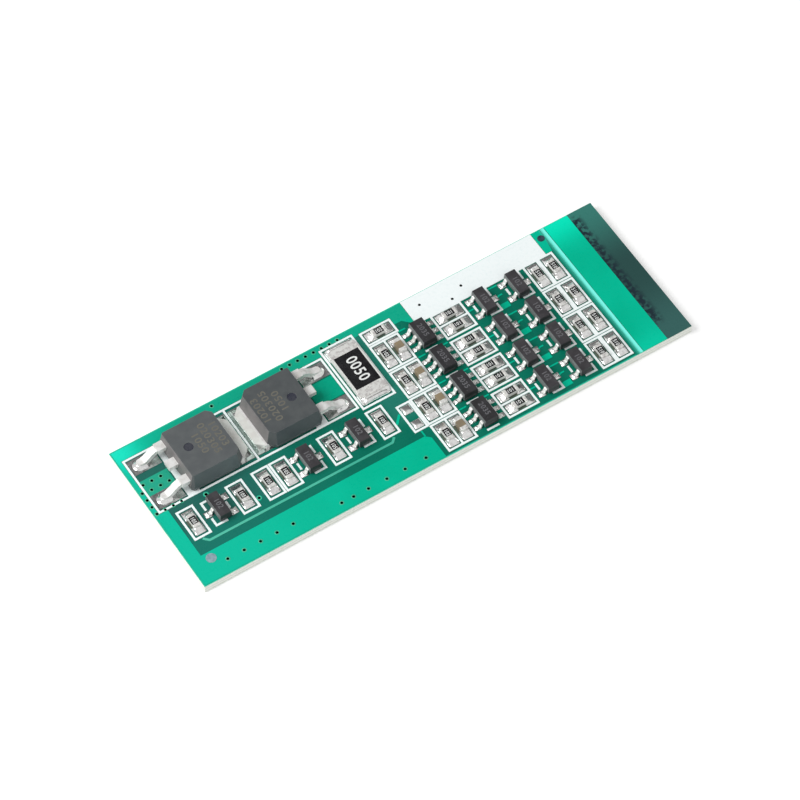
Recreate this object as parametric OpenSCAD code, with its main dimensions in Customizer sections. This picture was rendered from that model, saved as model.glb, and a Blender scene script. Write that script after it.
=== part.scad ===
// Battery management board for four lithium cells in series.
// A long two-layer board carries two power transistors, a current shunt and,
// row by row, the monitor and the balancing circuit of each cell.
// Frame: X along the board, Y across it, Z up; origin at the middle of the underside.

/* [Board] */
// Length of the board
board_l = 56.3; // [56:0.1:75]
// Width of the board
board_w = 18; // [18:0.1:22]
// Thickness of the laminate with its solder mask
board_t = 1; // [0.6:0.1:2]
// Length of the bare strip at the right end
strip_l = 2.9; // [2:0.1:3.2]
// Bore of a plated through hole
via_d = 0.3; // [0.2:0.02:0.36]

/* [Layers] */
// Height of the copper under its mask above the bare laminate
copper_t = 0.035; // [0.02:0.005:0.07]
// Height of the tin on the lands above that copper
tin_t = 0.03; // [0.02:0.005:0.05]
// Height of the printed legend
legend_t = 0.015; // [0.01:0.005:0.02]
// Width of a legend line
legend_line = 0.22; // [0.16:0.01:0.26]
// Thickness of the lands on the underside
under_land_t = 0.07; // [0.04:0.01:0.12]

/* [Power transistors] */
// Length of the case, along the leads
fet_l = 6.1; // [5.8:0.05:6.3]
// Width of the case
fet_w = 6.6; // [6.3:0.05:6.8]
// Height of the case above the lands
fet_h = 2.3; // [2.1:0.05:2.6]
// Thickness of the lead frame
fet_metal_t = 0.5; // [0.4:0.02:0.6]
// Distance between neighbouring lead positions
fet_pitch = 2.286; // [2.1:0.01:2.4]
// Width of a lead
fet_lead_w = 0.76; // [0.6:0.02:0.9]
// Length of a lead outside the case
fet_lead_reach = 2.95; // [2.7:0.05:3.2]
// Height of the leads' underside where they leave the case
fet_lead_z = 1; // [0.9:0.05:1.1]
// Width of the tab
fet_tab_w = 5.4; // [5:0.05:5.7]
// Length of the tab outside the case
fet_tab_reach = 1; // [0.8:0.05:1.2]

/* [Shunt] */
// Length of the shunt resistor
shunt_l = 6.35; // [6.1:0.05:6.5]
// Width of the shunt resistor
shunt_w = 3.2; // [3:0.05:3.4]
// Height of the shunt resistor
shunt_h = 0.6; // [0.5:0.05:0.8]
// Length of the shunt's end caps
shunt_cap = 1.02; // [0.7:0.02:1.2]

/* [Chips] */
// Length of a chip resistor or capacitor
chip_l = 1.6; // [1.5:0.02:1.66]
// Width of a chip resistor or capacitor
chip_w = 0.8; // [0.7:0.02:0.86]
// Height of a chip resistor
resistor_h = 0.45; // [0.4:0.05:0.6]
// Height of a chip capacitor
capacitor_h = 0.8; // [0.7:0.05:0.9]
// Length of a chip resistor's end caps
chip_cap = 0.34; // [0.2:0.02:0.4]
// Length of a chip capacitor's end caps
capacitor_cap = 0.42; // [0.3:0.02:0.5]

/* [Small transistors] */
// Length of the case, across the leads
sot_l = 2.9; // [2.8:0.02:3]
// Width of the case, along the leads
sot_w = 1.3; // [1.2:0.02:1.4]
// Height above the lands
sot_h = 1.02; // [0.9:0.02:1.2]
// Distance over the lead tips
sot_span = 2.4; // [2.3:0.02:2.5]
// Distance between the two leads on one side
sot_pitch = 1.9; // [1.8:0.02:2]

/* [Cell monitors] */
// Length of the case, across the leads
ic_l = 2.9; // [2.8:0.02:3]
// Width of the case, along the leads
ic_w = 1.6; // [1.5:0.02:1.7]
// Height above the lands
ic_h = 1.14; // [1:0.02:1.3]
// Distance over the lead tips
ic_span = 2.8; // [2.7:0.02:2.9]
// Distance between neighbouring leads
ic_pitch = 0.95; // [0.9:0.01:1]

/* [Small leads] */
// Width of a small lead
lead_w = 0.4; // [0.3:0.02:0.46]
// Thickness of a small lead
lead_t = 0.12; // [0.08:0.01:0.16]
// Length of a small lead's foot
foot_l = 0.32; // [0.26:0.02:0.36]

/* [Lands and solder] */
// Length of a land beyond the end of a chip
chip_toe = 0.69; // [0.5:0.01:0.72]
// Width of a land beside a chip
chip_side = 0.215; // [0.1:0.005:0.23]
// Length of a land beyond the tip of a small lead
lead_toe = 0.36; // [0.2:0.01:0.4]
// Share of a terminal's height that the solder climbs
solder_climb = 0.72; // [0.5:0.02:0.9]
// Height of the crowned tin on the empty place's lands
crown_h = 0.16; // [0.08:0.01:0.24]

/* [Layout] */
// Left edge to the frame printed round the power transistors
edge_margin = 0.58; // [0.5:0.01:0.7]
// Far edge to that frame
far_margin = 1.5; // [1.3:0.05:1.7]
// Near edge to the frames of the first cell row
row_margin = 0.38; // [0.2:0.01:0.6]
// Gap between the frames of two cell rows
row_gap = 0.085; // [0.05:0.005:0.2]
// Gap between the frames of the power transistors and of the driver row
driver_gap = 0.76; // [0.5:0.02:0.9]
// Width of the wide copper along the near edge
near_pour_w = 3.2; // [2.6:0.05:3.4]
// Distance between the two columns of balancing transistors
balance_pitch = 3.85; // [3.75:0.01:3.95]

/* [Hidden] */
ROWS = 4;
BALANCE_COLUMNS = 2;
BRANCHES = 2;       // resistors on each side of a cell row's transistors
SENSE = "sense_resistor";
FIXED_NODES = ["board", "copper_pours", "legend", "top_lands", "bottom_lands", "solder_joints",
    "power_fet_1_case", "power_fet_1_lead_frame", "power_fet_2_case", "power_fet_2_lead_frame",
    "shunt_resistor", SENSE];
function numbered(name, count) = [for (i = [1:count]) str(name, "_", i)];

$fn = 32;
eps = 0.01;         // overshoot of a cutting tool

// Heights
seat_z = board_t + copper_t + tin_t;
copper_z = board_t + copper_t;
legend_z = copper_z + legend_t;

// Clearances
edge_gap = 0.14;        // copper stays this far from the board's edge
print_gap = 0.05;       // copper stays this far from the print round it
frame_side = 0.07;      // land to the line beside a chip
frame_end = 0.09;       // land to the line past a chip's end
driver_frame_side = 0.135;
driver_frame_end = 0.16;
case_lift = 0.1;        // a moulded case hangs this far above its lands
heel_gap = 0.1;         // land to the case that its lead leaves

// Printed frames and the lands in them
chip_land_in = 0.35;    // a land reaches this far under its chip
land_w = chip_w + 2 * chip_side;
lands_l = chip_l + 2 * chip_toe;
cell_w = land_w + 2 * frame_side;
frame_l = lands_l + 2 * (frame_end + legend_line);
frame_w = cell_w + 2 * legend_line;
pair_w = 2 * cell_w + 3 * legend_line;
driver_frame_l = lands_l + 2 * (driver_frame_end + legend_line);
driver_frame_w = land_w + 2 * (driver_frame_side + legend_line);
shunt_frame_side = 0.1;
shunt_frame_end = 0.74;
shunt_frame_w = shunt_w + 2 * (shunt_frame_side + legend_line);
shunt_frame_l = shunt_l + 2 * (shunt_frame_end + legend_line);

// Power transistors: the two stand tab to tab in one frame
fet_tip_gap = 0.72;     // lead tip to the frame line
fet_tab_gap = 0.29;     // tab to the dividing line
fet_side_gap = 0.025;
fet_reach = fet_lead_reach + fet_l + fet_tab_reach;
fet_cell_l = fet_tip_gap + fet_reach + fet_tab_gap;
fet_frame_l = 2 * fet_cell_l + 3 * legend_line;
fet_frame_w = fet_w + 2 * (fet_side_gap + legend_line);
fet_frame_x = edge_margin;
fet_frame_y = board_w - far_margin - fet_frame_w;
fet_y = fet_frame_y + fet_frame_w / 2;
fet_divider_x = fet_frame_x + fet_frame_l / 2;
fet_mid = legend_line / 2 + fet_tab_gap + fet_tab_reach + fet_l / 2;    // divider to a case's middle
FETS = [[fet_divider_x - fet_mid, 0], [fet_divider_x + fet_mid, 180]];

// Columns from left to right
shunt_x = fet_frame_x + fet_frame_l + 0.16 + shunt_frame_w / 2;
shunt_y = fet_y + 0.17;
pair_x = shunt_x + shunt_frame_w / 2 + 0.6;
filter_x = [for (k = [0:1]) pair_x + legend_line + cell_w / 2 + k * (cell_w + legend_line)];
monitor_x = pair_x + pair_w + 0.05 + ic_span / 2 + lead_toe;
gate_frame_x = monitor_x + ic_span / 2 + lead_toe + 0.07;
gate_x = gate_frame_x + frame_l / 2;
balance_x = gate_frame_x + frame_l + 0.28 + lead_toe + sot_span / 2;
bleed_frame_x = balance_x + balance_pitch + sot_span / 2 + lead_toe + 0.16;
bleed_end_x = bleed_frame_x + 2 * frame_w;
ridge_x = bleed_end_x + 0.49;
ridge_w = 0.42;
field_x = ridge_x + ridge_w + 0.07;
blank_margin = [2.1, 0.66];     // from the cell rows' first frames and to their last ones
blank_x0 = pair_x + pair_w + blank_margin[0];
blank_x1 = bleed_end_x - blank_margin[1];
empty_w = frame_w - 0.2;    // the empty place is a little narrower than a chip's
empty_x = pair_x - empty_w / 2 - 0.02;

// Rows from the near edge to the far edge
row_pitch = frame_l + row_gap;
function row_y(r) = row_margin + frame_l / 2 + r * row_pitch;
driver_y = fet_frame_y - driver_gap - driver_frame_l / 2;
rows_end_y = row_y(ROWS - 1) + frame_l / 2;
sense_frame_y = rows_end_y + 0.05;
sense_y = sense_frame_y + frame_w / 2;
empty_y = row_y(1) - 0.08;

// Driver row: places counted from the frame of the power transistors
driver_resistor_dx = [2.28, 7.8, 10.72, 12.72, 18.2, 23.8];
driver_transistor_dx = [5.1, 15.26, 20.9];
driver_resistor_x = [for (dx = driver_resistor_dx) fet_frame_x + dx];
driver_transistor_x = [for (dx = driver_transistor_dx) fet_frame_x + dx];
driver_turns = [180, 0, 0];

// Plated holes
column_via_x = 0.4;
via_pitch = 0.92;
near_via_x = [16.05, 17.4, 19.1, 21.2, 23.3, 25.7];
near_via_y = 1.03;
corner_via = [3.5, 1.52];
corner_via_pitch = 1.84;
blank_vias = [[1.5, 1.35], [4.65, 2.5], [6.25, 1.6]];   // from the blank's left end and the far edge
ring_vias = [[9.06, 3.61], [4.96, 0.5]];    // along the power transistors' frame and below it
RING_VIAS = [for (d = ring_vias) [fet_frame_x + d[0], fet_frame_y - d[1]]];
VIAS = concat(
    [for (i = [0:3]) [column_via_x, fet_frame_y + legend_line / 2 + i * via_pitch]],
    [for (i = [1:3]) [column_via_x + i * via_pitch, fet_frame_y + legend_line / 2]],
    [for (i = [0:2]) [column_via_x + (i + 0.55) * via_pitch * 1.08, fet_y + 0.12]],
    [for (i = [1:3]) [column_via_x + i * via_pitch * 1.08, fet_y - 0.78]],
    [for (i = [0:4]) corner_via + [i * corner_via_pitch, 0]],
    [for (x = near_via_x) [x, near_via_y]],
    [for (i = [0:7]) [fet_frame_x + 18.8 + i * via_pitch, board_w - 0.56]],
    [[fet_divider_x - 0.66, board_w - 0.6]],
    [for (d = blank_vias) [blank_x0 + d[0], board_w - d[1]]],
    RING_VIAS);

// Round lands: a test point on the near copper and an alignment mark near the far edge
TEST_POINT = [2.2, 2.45, 0.53];
MARK = [bleed_end_x, board_w - 1.06, 0.38];

// Lands on the underside, for the pack wires and the cell taps: middle, length, width
under_edge = 0.3;       // the board's edge to a land
source_land = [4.3, 6.2, 6.2];
far_land = [22.6, 8.4, 4.2];
near_lands = [[7.2, 9.8, 3.6], [20.6, 11.6, 3.6]];
tap_l = 3;
tap_w = 3.4;
tap_pitch = 3.9;
UNDER_LANDS = concat(
    [[[source_land[0], fet_y], source_land[1], source_land[2]],
     [[far_land[0], board_w - under_edge - far_land[2] / 2], far_land[1], far_land[2]]],
    [for (n = near_lands) [[n[0], under_edge + n[2] / 2], n[1], n[2]]],
    [for (i = [0:2])
        [[blank_x0 + tap_l / 2 + i * tap_pitch, board_w - under_edge - tap_w / 2], tap_l, tap_w]]);

// ---- points and profiles ----

function unit(v) = v / norm(v);
function left_of(v) = [-v[1], v[0]];

// A path with its inner corners eased over a length r
function eased(p, r, steps = 3) = [
    p[0],
    for (i = [1:len(p) - 2])
        let (a = p[i] + r * unit(p[i - 1] - p[i]), b = p[i] + r * unit(p[i + 1] - p[i]))
        for (k = [0:steps])
            let (s = k / steps) a * (1 - s) ^ 2 + p[i] * 2 * s * (1 - s) + b * s ^ 2,
    p[len(p) - 1]];

// The mitred sideways direction at a path's point
function side_at(p, i) =
    let (b = unit(i < len(p) - 1 ? p[i + 1] - p[i] : p[i] - p[i - 1]),
         a = unit(i > 0 ? p[i] - p[i - 1] : p[i + 1] - p[i]),
         m = unit(left_of(a) + left_of(b)))
    m / (m * left_of(b));

// Outline of a band of width t along a path
function band(p, t) = concat(
    [for (i = [0:len(p) - 1]) p[i] + side_at(p, i) * t / 2],
    [for (i = [len(p) - 1:-1:0]) p[i] - side_at(p, i) * t / 2]);

// Middle line of a formed lead, from inside the case out to the tip
function lead_path(inset, reach, rise, foot, lean, t) = [
    [-inset, rise + t / 2], [reach - foot - lean, rise + t / 2],
    [reach - foot, t / 2], [reach, t / 2]];

// ---- shapes in the plane ----

module rect(x0, y0, x1, y1) {
    translate([x0, y0]) square([x1 - x0, y1 - y0]);
}

module plate(l, w) {
    square([l, w], center = true);
}

// A rectangle with cut corners: c0 at its left end, c1 at its right end
module cut_plate(l, w, c0, c1) {
    polygon([[-l / 2 + c0, -w / 2], [l / 2 - c1, -w / 2], [l / 2, -w / 2 + c1], [l / 2, w / 2 - c1],
        [l / 2 - c1, w / 2], [-l / 2 + c0, w / 2], [-l / 2, w / 2 - c0], [-l / 2, -w / 2 + c0]]);
}

module trace(p, w) {
    polygon(band(p, w));
}

// A printed frame with n cells side by side along X, outer size l by w
module frame(l, w, n = 1) {
    step = (l - legend_line) / n;
    difference() {
        plate(l, w);
        for (k = [0:n - 1])
            translate([-l / 2 + legend_line + k * step, -w / 2 + legend_line])
                square([step - legend_line, w - 2 * legend_line]);
    }
}

// ---- placing ----

// Carries children to a place on the board, measured from its near left corner
module at(x, y, z = 0, turn = 0) {
    translate([x - board_l / 2, y - board_w / 2, z]) rotate(turn) children();
}

// Raises a drawing in board coordinates into a layer from z0 to z1
module layer(z0, z1) {
    at(0, 0, z0) linear_extrude(z1 - z0) children();
}

module drill(spots, z0, z1) {
    for (v = spots)
        at(v[0], v[1], z0 - eps) cylinder(d = via_d, h = z1 - z0 + 2 * eps);
}

module in_rows() {
    for (r = [0:ROWS - 1]) translate([0, row_y(r)]) children();
}

// Every chip that stands on two lands: [x, y, turn, height]; turn 90 lies along X
CHIPS = concat(
    [for (r = [0:ROWS - 1]) [filter_x[0], row_y(r), 0, resistor_h]],
    [for (r = [0:ROWS - 1]) [filter_x[1], row_y(r), 0, capacitor_h]],
    [for (r = [0:ROWS - 1], k = [0:BRANCHES - 1]) [gate_x, gate_y(r, k), 90, resistor_h]],
    [for (r = [0:ROWS - 1], k = [0:BRANCHES - 1]) [bleed_x(k), row_y(r), 0, resistor_h]],
    [for (x = driver_resistor_x) [x, driver_y, 0, resistor_h]],
    [[pair_x + frame_l / 2, sense_y, 90, resistor_h]]);
function gate_y(r, k) = row_y(r) + (k - 0.5) * (cell_w + legend_line);
function bleed_x(k) = bleed_frame_x + (k + 0.5) * frame_w;

// Every small transistor: [x, y, turn]
SOTS = concat(
    [for (r = [0:ROWS - 1], k = [0:BALANCE_COLUMNS - 1]) [balance_x + k * balance_pitch, row_y(r), 0]],
    [for (i = [0:len(driver_transistor_x) - 1]) [driver_transistor_x[i], driver_y, driver_turns[i]]]);

// Leads of a small transistor and of a monitor: [side, place along the case]
SOT_LEADS = [[-1, -sot_pitch / 2], [-1, sot_pitch / 2], [1, 0]];
IC_LEADS = [for (s = [-1, 1], k = [-1:1]) [s, k * ic_pitch]];

// ---- lands ----

chip_land_l = chip_toe + chip_land_in;
empty_land_w = empty_w - 2 * (frame_side + legend_line);
sot_land_w = lead_w + 0.34;
ic_land_w = lead_w + 0.12;
shunt_land_out = 0.6;
shunt_land_l = shunt_land_out + shunt_cap + 0.2;
fet_land_l = 3.02;
fet_land_w = fet_lead_w + 1.04;
fet_tab_land_w = fet_tab_w + 0.6;
fet_tab_land_in = 4.8;

module end_lands(l, w, out, land_l) {
    for (s = [-1, 1])
        translate([0, s * (l / 2 + out - land_l / 2)]) plate(w, land_l);
}

module lead_lands(leads, span, case_w, w) {
    inner = case_w / 2 + heel_gap;
    outer = span / 2 + lead_toe;
    for (p = leads)
        translate([p[0] * (inner + outer) / 2, p[1]]) plate(outer - inner, w);
}

module fet_lead_lands() {
    for (s = [-1, 1])
        translate([-fet_l / 2 - fet_lead_reach - fet_tip_gap + print_gap + fet_land_l / 2, s * fet_pitch])
            plate(fet_land_l, fet_land_w);
}

module fet_tab_land() {
    translate([fet_l / 2 + fet_tab_reach + fet_tab_gap - print_gap - (fet_tab_land_in + 1.2) / 2, 0])
        plate(fet_tab_land_in + 1.2, fet_tab_land_w);
}

module round_land(p, grow = 0) {
    translate([p[0], p[1]]) circle(r = p[2] + grow);
}

module lands_plan() {
    for (c = CHIPS)
        translate([c[0], c[1]]) rotate(c[2]) end_lands(chip_l, land_w, chip_toe, chip_land_l);
    for (t = SOTS)
        translate([t[0], t[1]]) rotate(t[2]) lead_lands(SOT_LEADS, sot_span, sot_w, sot_land_w);
    in_rows() translate([monitor_x, 0]) lead_lands(IC_LEADS, ic_span, ic_w, ic_land_w);
    translate([empty_x, empty_y]) end_lands(chip_l, empty_land_w, chip_toe, chip_land_l);
    translate([shunt_x, shunt_y]) end_lands(shunt_l, shunt_w - 0.1, shunt_land_out, shunt_land_l);
    for (f = FETS)
        translate([f[0], fet_y]) rotate(f[1]) {
            fet_lead_lands();
            fet_tab_land();
        }
    round_land(TEST_POINT);
    round_land(MARK);
}

// ---- copper under the mask ----

near_corner = 0.5;      // cut at the wide copper's inner corner
column_w = 1.5;         // copper along the left edge, next to the driver row
sliver_w = 0.2;
thin_trace = 0.16;
wide_trace = 0.26;

module near_pour() {
    x1 = empty_x + 0.32;
    polygon([[edge_gap, edge_gap], [x1, edge_gap], [x1, near_pour_w - near_corner],
        [x1 - near_corner, near_pour_w], [edge_gap, near_pour_w]]);
    rect(edge_gap, near_pour_w - eps, column_w, fet_frame_y - print_gap);
    rect(edge_gap, fet_frame_y - 2 * print_gap, fet_frame_x - print_gap, fet_frame_y + fet_frame_w + eps);
}

module far_pour() {
    y0 = fet_frame_y + fet_frame_w + print_gap;
    y1 = board_w - edge_gap;
    x0 = pair_x + pair_w;
    x1 = blank_x0 - print_gap;
    drop = 0.7;         // fall of the copper's edge towards the last monitor
    difference() {
        union() {
            rect(edge_gap, y0 - print_gap, x1, y1);
            polygon([[x0, y0], [x0, sense_y], [x1 - 1, sense_y], [x1 - 0.3, sense_y - drop],
                [x1, sense_y - drop], [x1, y0]]);
        }
        translate([shunt_x, shunt_y])
            plate(shunt_frame_w + 2 * print_gap, shunt_frame_l + 2 * print_gap);
        rect(fet_frame_x - print_gap, fet_frame_y, fet_divider_x + fet_frame_l / 2 + print_gap, y0);
        rect(shunt_x, fet_frame_y, pair_x, y0 + 0.2);
        rect(pair_x - print_gap, fet_frame_y,
            pair_x + frame_l + print_gap, sense_frame_y + frame_w + print_gap);
    }
}

// Copper between a power transistor's outer leads: its two sides, across the leads
source_pours = [[-1.4, 0.6], [-1.25, 1.25]];

module source_pour(sides) {
    x0 = -fet_l / 2 - fet_lead_reach - fet_tip_gap + print_gap;
    rect(x0, sides[0], x0 + fet_land_l, sides[1]);
}

module end_pours() {
    rect(ridge_x, edge_gap / 2, ridge_x + ridge_w, board_w - edge_gap / 2);
    rect(field_x, edge_gap / 2, board_l - strip_l, board_w - edge_gap / 2);
    rect(bleed_end_x + 0.1, edge_gap / 2, ridge_x - 0.09, board_w - edge_gap / 2);
    rect(blank_x1 + print_gap, rows_end_y + print_gap, bleed_end_x + 0.1 + eps, board_w - edge_gap / 2);
}

module near_traces() {
    y = near_pour_w + 1.07;
    trace([[driver_resistor_x[0] - 0.2, y + 0.5], [driver_resistor_x[0] + 0.3, y],
        [driver_resistor_x[5] - 0.45, y], [driver_resistor_x[5], y + 0.45]], wide_trace);
    x = empty_x - 0.13;
    trace([[x, near_pour_w - eps], [x, empty_y - frame_l / 2 - print_gap]], thin_trace);
    trace([[driver_resistor_x[5] + 1, driver_y - 1], [empty_x - empty_w / 2 - 0.1, driver_y - 0.1]],
        wide_trace);
}

// Short links between the parts of one cell row
module row_traces() {
    x0 = balance_x + sot_span / 2 + lead_toe;
    x1 = balance_x + balance_pitch - sot_span / 2 - lead_toe;
    gap = frame_l / 2 - 0.5;
    trace([[x0, 0], [x0 + 0.25, 0.12], [x1 - 0.1, 0.12]], thin_trace);
    rect(x0 - 0.4, -gap - 0.25, x1 - 0.1, -gap + 0.4);
    trace([[x0 - 0.3, gap], [x1, gap]], thin_trace);
    trace([[gate_frame_x + frame_l + 0.02, 0.1], [balance_x - sot_span / 2, 0.1]], thin_trace);
    for (s = [-1, 1])
        trace([[monitor_x + s * 0.9, frame_l / 2], [monitor_x + s * 1.7, frame_l / 2]], thin_trace);
}

module pours_plan() {
    difference() {
        union() {
            near_pour();
            far_pour();
            end_pours();
            near_traces();
            in_rows() row_traces();
            for (i = [0:1])
                translate([FETS[i][0], fet_y]) rotate(FETS[i][1]) source_pour(source_pours[i]);
            for (v = RING_VIAS)
                translate(v) circle(r = via_d);
        }
        lands_plan();
    }
}

// ---- printed legend ----

sot_mark_side = sot_span / 2 + 0.02;
sot_mark_end = sot_l / 2 + 0.12;
lead_block_l = 1.3;     // printed block under a power transistor's leads

module sot_marks(both_corners) {
    gap = sot_land_w / 2 + 0.16;
    x = sot_mark_side;
    rect(x - legend_line, -sot_mark_end, x, -gap);
    rect(x - legend_line, gap, x, sot_mark_end);
    rect(-0.15, -sot_mark_end, x, -sot_mark_end + legend_line);
    if (both_corners)
        rect(-0.15, sot_mark_end - legend_line, x, sot_mark_end);
    rect(-x + legend_line * 0.4, -0.42, -x + legend_line * 1.4, 0.42);
}

module monitor_marks() {
    y = ic_l / 2 + 0.1;
    rect(-0.7, -y - legend_line, 0.7, -y);
}

module fet_block() {
    x1 = -fet_l / 2 + 0.85;
    rect(x1 - lead_block_l, -fet_frame_w / 2 + eps, x1, fet_frame_w / 2 - eps);
}

module row_frames() {
    translate([pair_x + pair_w / 2, 0]) frame(pair_w, frame_l, 2);
    translate([gate_x, 0]) rotate(90) frame(pair_w, frame_l, 2);
    for (k = [0:BRANCHES - 1])
        translate([bleed_x(k), 0]) frame(frame_w, frame_l);
    translate([monitor_x, 0]) monitor_marks();
}

module legend_plan() {
    difference() {
        union() {
            translate([fet_divider_x, fet_y]) frame(fet_frame_l, fet_frame_w, 2);
            for (f = FETS)
                translate([f[0], fet_y]) rotate(f[1]) fet_block();
            translate([shunt_x, shunt_y]) frame(shunt_frame_w, shunt_frame_l);
            in_rows() row_frames();
            for (x = driver_resistor_x)
                translate([x, driver_y]) frame(driver_frame_w, driver_frame_l);
            for (t = SOTS)
                translate([t[0], t[1]]) rotate(t[2]) sot_marks(t[2] == 180);
            translate([empty_x, empty_y]) frame(empty_w, frame_l);
            translate([pair_x + frame_l / 2, sense_y]) frame(frame_l, frame_w);
            rect(blank_x0, rows_end_y - legend_line, blank_x1, board_w - edge_gap / 2);
            rect(blank_x1 - eps, rows_end_y - legend_line, bleed_end_x, rows_end_y);
        }
        lands_plan();
        round_land(MARK, 0.12);
    }
}

// ---- the board and its layers ----

module under_lands_plan() {
    for (u = UNDER_LANDS)
        translate(u[0]) plate(u[1], u[2]);
}

module board() {
    color([0.02, 0.36, 0.28])
        difference() {
            layer(0, board_t) rect(0, 0, board_l, board_w);
            layer(-eps, under_land_t) under_lands_plan();
            drill(VIAS, 0, board_t);
        }
}

module copper_pours() {
    color([0.05, 0.72, 0.56])
        difference() {
            layer(board_t, copper_z) pours_plan();
            drill(VIAS, board_t, copper_z);
        }
}

module legend() {
    color([0.94, 0.97, 0.96])
        difference() {
            layer(board_t, legend_z) legend_plan();
            layer(board_t - eps, copper_z) pours_plan();
            drill(VIAS, board_t, legend_z);
        }
}

module top_lands() {
    color([0.80, 0.80, 0.78])
        layer(board_t, seat_z) lands_plan();
}

module bottom_lands() {
    color([0.80, 0.80, 0.78])
        difference() {
            layer(0, under_land_t) under_lands_plan();
            drill(VIAS, 0, under_land_t);
        }
}

// ---- moulded cases and formed leads ----

// A block from x0 to x1 with the side outline of a moulded case: widest at the mould's split
module case_slab(x0, x1, w, z1, split, taper) {
    low = (split - case_lift) * taper;
    high = (z1 - split) * taper;
    rotate([90, 0, 0]) linear_extrude(w, center = true)
        polygon([[x0 + low, case_lift], [x1 - low, case_lift], [x1, split],
            [x1 - high, z1], [x0 + high, z1], [x0, split]]);
}

// A moulded case with cut corners: c0 at its left end, c1 at its right end
module moulded_case(l, w, z1, split, taper, c0, c1) {
    reach = (l + w) / 2;
    intersection() {
        case_slab(-l / 2, l / 2, w, z1, split, taper);
        rotate(90) case_slab(-w / 2, w / 2, l, z1, split, taper);
        rotate(45) case_slab((c0 - reach) / sqrt(2), (reach - c1) / sqrt(2), 2 * reach, z1, split, taper);
        rotate(-45) case_slab((c0 - reach) / sqrt(2), (reach - c1) / sqrt(2), 2 * reach, z1, split, taper);
    }
}

// A formed lead that leaves the case's side face at x = 0 towards +X
module formed_lead(w, t, inset, reach, rise, foot, lean, bend) {
    rotate([90, 0, 0]) linear_extrude(w, center = true)
        polygon(band(eased(lead_path(inset, reach, rise, foot, lean, t), bend), t));
}

small_inset = 0.15;         // length of a small lead inside the case
small_lean = 0.16;          // run of its slope
small_bend = 0.09;

module small_lead(case_w, span, rise) {
    translate([case_w / 2, 0])
        formed_lead(lead_w, lead_t, small_inset, (span - case_w) / 2,
            rise, foot_l, small_lean, small_bend);
}

module small_leads(leads, case_w, span, rise) {
    for (p = leads)
        translate([0, p[1]]) rotate(p[0] > 0 ? 0 : 180) small_lead(case_w, span, rise);
}

small_taper = 0.12;
small_cut = 0.05;
function lead_rise(h) = (case_lift + h - lead_t) / 2;

module small_transistor() {
    rise = lead_rise(sot_h);
    color([0.20, 0.19, 0.20])
        moulded_case(sot_w, sot_l, sot_h, rise + lead_t / 2, small_taper, small_cut, small_cut);
    color([0.78, 0.78, 0.76])
        small_leads(SOT_LEADS, sot_w, sot_span, rise);
}

module cell_monitor() {
    rise = lead_rise(ic_h);
    color([0.17, 0.16, 0.17])
        difference() {
            moulded_case(ic_w, ic_l, ic_h, rise + lead_t / 2, small_taper, small_cut, small_cut);
            translate([-ic_w / 4, -ic_l / 2 + 0.4, ic_h - 0.03]) cylinder(r = 0.14, h = 1);
        }
    color([0.78, 0.78, 0.76])
        small_leads(IC_LEADS, ic_w, ic_span, rise);
}

// ---- power transistors ----

fet_taper = 0.19;
fet_foot = 0.85;
fet_lean = 1.15;
fet_bend = 0.45;
fet_inset = 0.7;            // length of a lead inside the case
fet_stub = 0.85;            // cut length of the middle lead
fet_shoulder = 0.75;        // wider stretch of a lead next to the case
fet_shoulder_side = 0.12;
fet_tab_cut = 0.8;

// A lead of a power transistor, its tip rounded in plan
module fet_lead() {
    round_x = fet_l / 2 + fet_lead_reach - fet_lead_w / 2;
    intersection() {
        translate([fet_l / 2, 0])
            formed_lead(fet_lead_w, fet_metal_t, fet_inset, fet_lead_reach,
                fet_lead_z, fet_foot, fet_lean, fet_bend);
        linear_extrude(fet_lead_z + 2 * fet_metal_t) {
            rect(0, -fet_lead_w / 2, round_x, fet_lead_w / 2);
            translate([round_x, 0]) circle(d = fet_lead_w);
        }
    }
}

module fet_flat(reach) {
    w = fet_lead_w + 2 * fet_shoulder_side;
    translate([fet_l / 2 - fet_inset, -w / 2, fet_lead_z]) cube([fet_inset + reach, w, fet_metal_t]);
}

module fet_tab() {
    l = fet_tab_land_in + fet_tab_reach - 0.8;
    translate([fet_l / 2 + fet_tab_reach - l / 2, 0])
        linear_extrude(fet_metal_t) cut_plate(l, fet_tab_w, 0.3, fet_tab_cut);
}

module fet_lead_frame() {
    color([0.80, 0.80, 0.79]) {
        for (s = [-1, 1])
            translate([0, s * fet_pitch]) rotate(180) {
                fet_lead();
                fet_flat(fet_shoulder);
            }
        rotate(180) fet_flat(fet_stub);
        fet_tab();
    }
}

module fet_case() {
    color([0.32, 0.33, 0.34])
        difference() {
            moulded_case(fet_l, fet_w, fet_h, fet_metal_t + 0.1, fet_taper, 0.3, 0.7);
            fet_lead_frame();
            translate([-fet_l * 0.21, 0.2, fet_h - 0.06]) cylinder(r = 0.5, h = 1);
        }
}

// ---- chips ----

wrap = 0.025;       // the end caps stand this far outside the ceramic

// A block with its long edges cut, long axis along Y
module cut_block(w, l, h, cut) {
    intersection() {
        rotate([90, 0, 0]) linear_extrude(l, center = true)
            translate([0, h / 2]) cut_plate(w, h, cut, cut);
        linear_extrude(h) cut_plate(w, l, cut, cut);
        rotate([90, 0, 90]) linear_extrude(w, center = true)
            translate([0, h / 2]) cut_plate(l, h, cut, cut);
    }
}

module chip_body(l, w, h, cap) {
    translate([-w / 2 + wrap, -l / 2 + wrap, wrap]) cube([w - 2 * wrap, l - 2 * wrap, h - 2 * wrap]);
    color([0.86, 0.86, 0.85])
        for (s = [-1, 1])
            translate([0, s * (l - cap) / 2]) cut_block(w, cap, h, 2 * wrap);
}

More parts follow.
